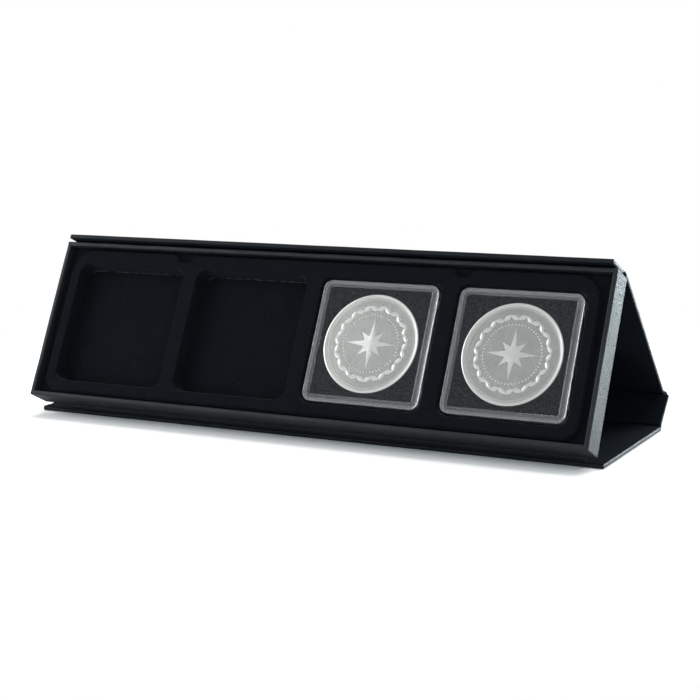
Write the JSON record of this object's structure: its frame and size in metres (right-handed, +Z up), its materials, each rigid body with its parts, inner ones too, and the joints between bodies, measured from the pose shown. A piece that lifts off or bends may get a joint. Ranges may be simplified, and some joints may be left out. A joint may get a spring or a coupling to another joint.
{
  "type": "coin display case",
  "caption": "Long leatherette presentation case folded into a triangular stand, with a leaning flocked tray of square pockets and coins in clear square capsules.",
  "frame": {"origin": "centre of the base panel's underside, on the table", "axes": "+X along the case to the right as seen from the front, +Y from the tray to the back, +Z up"},
  "size_m": [0.242, 0.0931, 0.0716],
  "materials": {
    "leatherette": "satin black grained leatherette",
    "lining_paper": "matte black lining paper",
    "grey_board": "matte grey board",
    "steel": "plain nickel-plated steel",
    "flocked_sheet": "black flocked thermoformed sheet",
    "clear_plastic": "clear polished polystyrene",
    "black_foam": "matte black foam",
    "silver": "satin struck silver"
  },
  "bodies": {
    "base": {"base_board": "grey_board", "base_outer_wrap": "leatherette", "base_lining": "lining_paper", "base_spine_fold": "leatherette", "tray_hinge_strip": "leatherette"},
    "spine": {"spine_board": "grey_board", "spine_outer_wrap": "leatherette", "spine_lining": "lining_paper", "spine_lid_fold": "leatherette"},
    "lid": {"lid_board": "grey_board", "lid_outer_wrap": "leatherette", "lid_lining": "lining_paper", "lid_flap_fold": "leatherette"},
    "flap": {"flap_board": "grey_board", "flap_outer_wrap": "leatherette", "flap_lining": "lining_paper", "flap_magnets": "steel"},
    "tray": {"tray_back_board": "grey_board", "tray_top_wall": "grey_board", "tray_bottom_wall": "grey_board", "tray_left_wall": "grey_board", "tray_right_wall": "grey_board", "tray_wrap": "leatherette", "tray_back_lining": "lining_paper", "tray_top_plates": "steel", "tray_bottom_plates": "steel", "pocket_insert": "flocked_sheet"},
    "third_capsule": {"third_capsule_base": "clear_plastic", "third_foam": "black_foam"},
    "third_cover": {"third_capsule_cover": "clear_plastic"},
    "third_coin_body": {"third_coin": "silver"},
    "fourth_capsule": {"fourth_capsule_base": "clear_plastic", "fourth_foam": "black_foam"},
    "fourth_cover": {"fourth_capsule_cover": "clear_plastic"},
    "fourth_coin_body": {"fourth_coin": "silver"}
  },
  "joints": [
    {"name": "tray_hinge", "type": "hinge", "parent": "base", "child": "tray", "pos_m": [0, -0.0356, 0.0012], "axis": [1, 0, 0], "range_deg": [-63.5, 0], "deforming": ["tray_hinge_strip"]},
    {"name": "spine_hinge", "type": "hinge", "parent": "base", "child": "spine", "pos_m": [0, 0.0349, 0], "axis": [1, 0, 0], "range_deg": [-45.22, 0], "deforming": ["base_spine_fold"]},
    {"name": "lid_hinge", "type": "hinge", "parent": "spine", "child": "lid", "pos_m": [0, 0.04709, 0.01228], "axis": [1, 0, 0], "range_deg": [-88.77, 0], "deforming": ["spine_lid_fold"]},
    {"name": "flap_hinge", "type": "hinge", "parent": "lid", "child": "flap", "pos_m": [0, -0.00472, 0.06595], "axis": [1, 0, 0], "range_deg": [-21.01, 0], "deforming": ["lid_flap_fold"]},
    {"name": "third_capsule_lift", "type": "slide", "parent": "tray", "child": "third_capsule", "axis": [0, -0.8949, 0.4462], "range_m": [0, 0.03]},
    {"name": "third_cover_lift", "type": "slide", "parent": "third_capsule", "child": "third_cover", "axis": [0, -0.8949, 0.4462], "range_m": [0, 0.016]},
    {"name": "third_coin_lift", "type": "slide", "parent": "third_capsule", "child": "third_coin_body", "axis": [0, -0.8949, 0.4462], "range_m": [0, 0.008]},
    {"name": "fourth_capsule_lift", "type": "slide", "parent": "tray", "child": "fourth_capsule", "axis": [0, -0.8949, 0.4462], "range_m": [0, 0.03]},
    {"name": "fourth_cover_lift", "type": "slide", "parent": "fourth_capsule", "child": "fourth_cover", "axis": [0, -0.8949, 0.4462], "range_m": [0, 0.016]},
    {"name": "fourth_coin_lift", "type": "slide", "parent": "fourth_capsule", "child": "fourth_coin_body", "axis": [0, -0.8949, 0.4462], "range_m": [0, 0.008]}
  ],
  "couplings": [
    {"joint": "spine_hinge", "follows": "tray_hinge", "ratio": 0.71208},
    {"joint": "lid_hinge", "follows": "tray_hinge", "ratio": 1.398},
    {"joint": "third_coin_lift", "follows": "third_cover_lift", "ratio": 0.5},
    {"joint": "fourth_coin_lift", "follows": "fourth_cover_lift", "ratio": 0.5}
  ]
}
